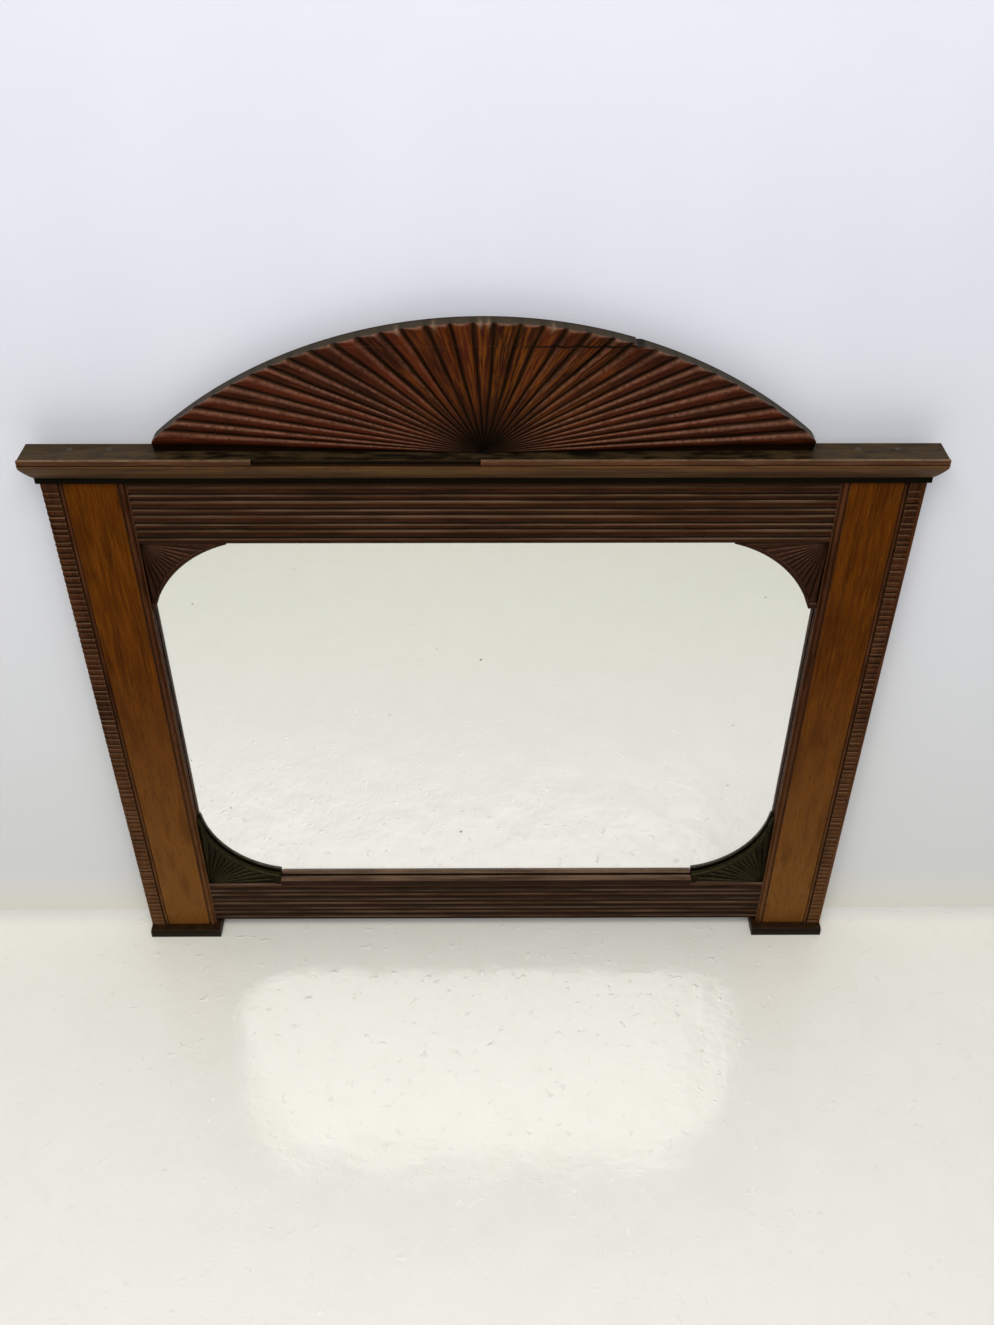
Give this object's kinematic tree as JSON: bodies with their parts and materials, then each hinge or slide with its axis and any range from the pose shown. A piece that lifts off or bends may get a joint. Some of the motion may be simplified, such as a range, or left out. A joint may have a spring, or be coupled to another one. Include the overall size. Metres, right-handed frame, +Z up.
{
  "type": "overmantel mirror",
  "caption": "Wall mirror in a dark carved frame with broad posts, reeded rails, carved corner fans and a sunburst pediment above a cornice.",
  "frame": {"origin": "centre of the bounding box in X and Y, on the floor under the feet in Z", "axes": "+X to the viewer's right, -Y out of the front towards the viewer, +Y to the wall, +Z up"},
  "size_m": [1.133, 0.054, 1.057],
  "materials": {
    "dark_wood": "old shellac, worn",
    "carved_wood": "old shellac, worn",
    "amber_veneer": "polished",
    "worn_wood": "worn, dusty",
    "aged_wood": "dusty, matt",
    "black_wood": "ebonised",
    "backing_pine": "bare, aged",
    "mirror_glass": "silvered",
    "screw_steel": "dull"
  },
  "bodies": {
    "root": {"post_left": "dark_wood", "post_right": "dark_wood", "post_panel_left": "amber_veneer", "post_panel_right": "amber_veneer", "notched_strip_left": "dark_wood", "notched_strip_right": "dark_wood", "outer_bead_left": "dark_wood", "outer_bead_right": "dark_wood", "inner_bead_left": "dark_wood", "inner_bead_right": "dark_wood", "foot_left": "black_wood", "foot_right": "black_wood", "top_rail": "dark_wood", "bottom_rail": "dark_wood", "corner_fan_top_left": "aged_wood", "corner_fan_top_right": "aged_wood", "corner_fan_bottom_left": "aged_wood", "corner_fan_bottom_right": "aged_wood", "slip_left": "backing_pine", "slip_right": "backing_pine", "slip_top": "backing_pine", "slip_bottom": "backing_pine", "mirror_glass": "mirror_glass", "back_board_1": "backing_pine", "back_board_2": "backing_pine", "back_board_3": "backing_pine", "back_board_4": "backing_pine", "cornice_board": "worn_wood", "cornice_moulding": "worn_wood", "cornice_return_left": "worn_wood", "cornice_return_right": "worn_wood", "cornice_lip_left": "worn_wood", "cornice_lip_right": "worn_wood", "under_fillet": "black_wood", "under_fillet_left": "black_wood", "under_fillet_right": "black_wood", "pediment_fan": "carved_wood", "pediment_crest": "carved_wood", "pediment_cleat_left": "backing_pine", "pediment_cleat_right": "backing_pine", "tenon_pegs": "dark_wood", "cornice_screws": "screw_steel", "back_screws": "screw_steel", "cleat_screws": "screw_steel", "foot_screws": "screw_steel"}
  },
  "joints": []
}
